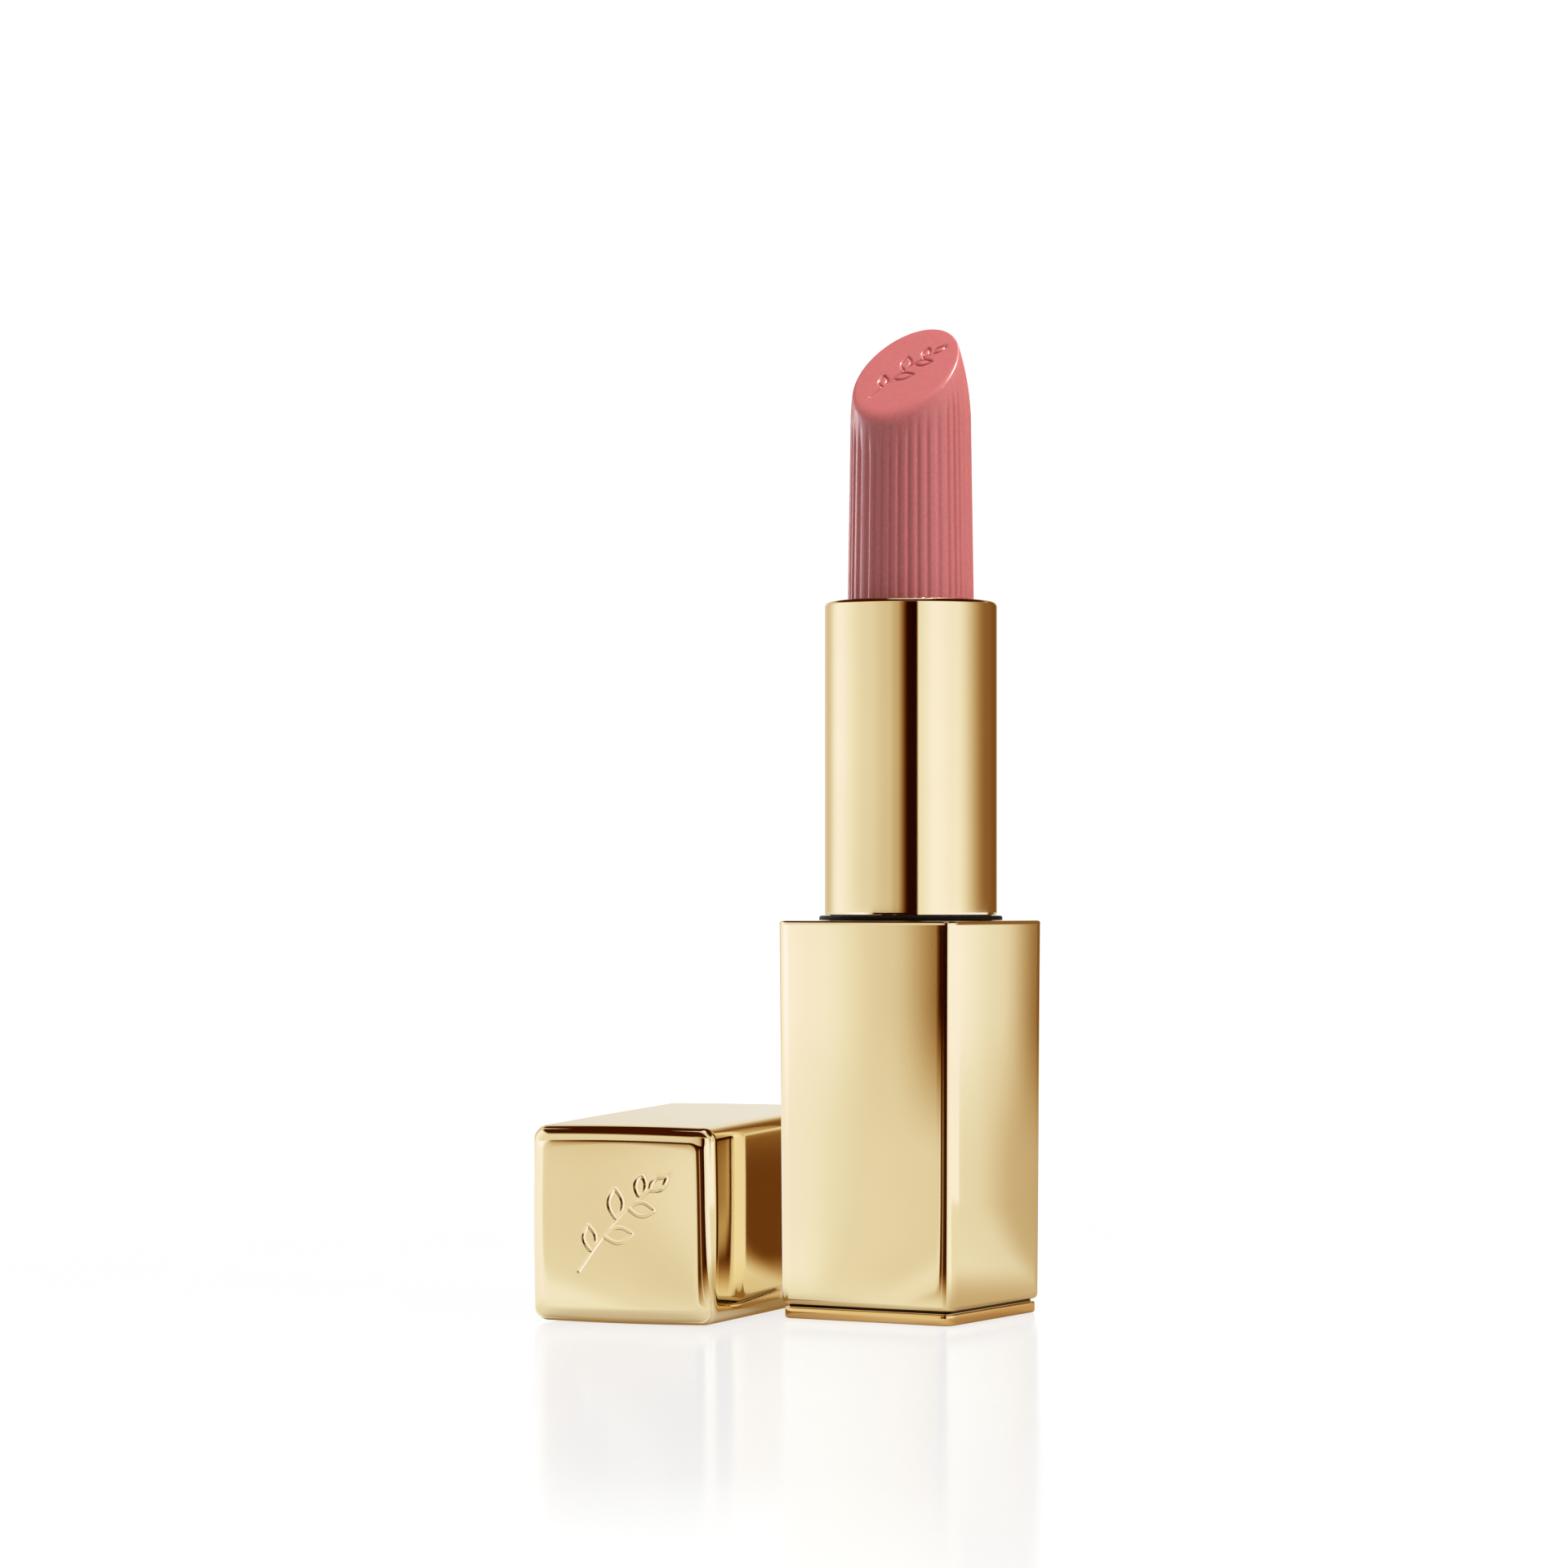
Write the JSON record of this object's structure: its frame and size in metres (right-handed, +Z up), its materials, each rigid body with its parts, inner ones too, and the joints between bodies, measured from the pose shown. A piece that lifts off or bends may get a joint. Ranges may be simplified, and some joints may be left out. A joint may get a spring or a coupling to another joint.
{
  "type": "lipstick case",
  "caption": "Square twist-up lipstick case, bullet raised, with its square cap lying beside it; the sleeve twists, the bullet travels, the refill pulls out and the cap slides.",
  "frame": {"origin": "centre of the foot's underside, on the case's own axis, at floor level", "axes": "+Z up along the case's axis; the base's four faces look along X and Y; the bullet's slanted cut faces -Y; the cap lies on the -X side with its closed end towards -Y"},
  "size_m": [0.0452, 0.0381, 0.1],
  "materials": {
    "gold": "mirror-polished, gold anodised",
    "dark_collar": "gloss dark brown",
    "white_plastic": "satin moulded",
    "black_plastic": "satin moulded",
    "steel": "bare pressed steel",
    "nickel": "nickel-plated magnet",
    "silicone": "matt translucent silicone",
    "lipstick": "satin wax with moulded flutes",
    "paper": "blank label stock"
  },
  "bodies": {
    "base": {"base_shell": "gold", "base_plate": "gold", "base_label": "paper", "base_weight": "steel", "base_liner": "black_plastic", "grip_ring": "silicone", "collar_ring": "dark_collar", "base_magnet_1": "nickel", "base_magnet_2": "nickel", "base_magnet_3": "nickel", "base_magnet_4": "nickel"},
    "refill": {"inner_body": "white_plastic", "brake_ring": "silicone"},
    "sleeve": {"sleeve_shell": "gold", "spiral_tube": "white_plastic"},
    "cup": {"cup": "white_plastic", "bullet": "lipstick"},
    "cap": {"cap_shell": "gold", "cap_liner": "black_plastic", "cap_weight": "steel", "cap_magnet_1": "nickel", "cap_magnet_2": "nickel", "cap_magnet_3": "nickel", "cap_magnet_4": "nickel"}
  },
  "joints": [
    {"name": "refill_pull", "type": "slide", "parent": "base", "child": "refill", "axis": [0, 0, 1], "range_m": [0, 0.0225]},
    {"name": "sleeve_twist", "type": "hinge", "parent": "refill", "child": "sleeve", "pos_m": [0, 0, 0.05], "axis": [0, 0, 1], "range_deg": [0, 540]},
    {"name": "cup_travel", "type": "slide", "parent": "refill", "child": "cup", "axis": [0, 0, 1], "range_m": [-0.0285, 0]},
    {"name": "cap_slide", "type": "slide", "parent": "base", "child": "cap", "axis": [0.1564, -0.9877, 0], "range_m": [0, 0.04]}
  ],
  "couplings": [
    {"joint": "cup_travel", "follows": "sleeve_twist", "m_per_rad": -0.0030239}
  ]
}
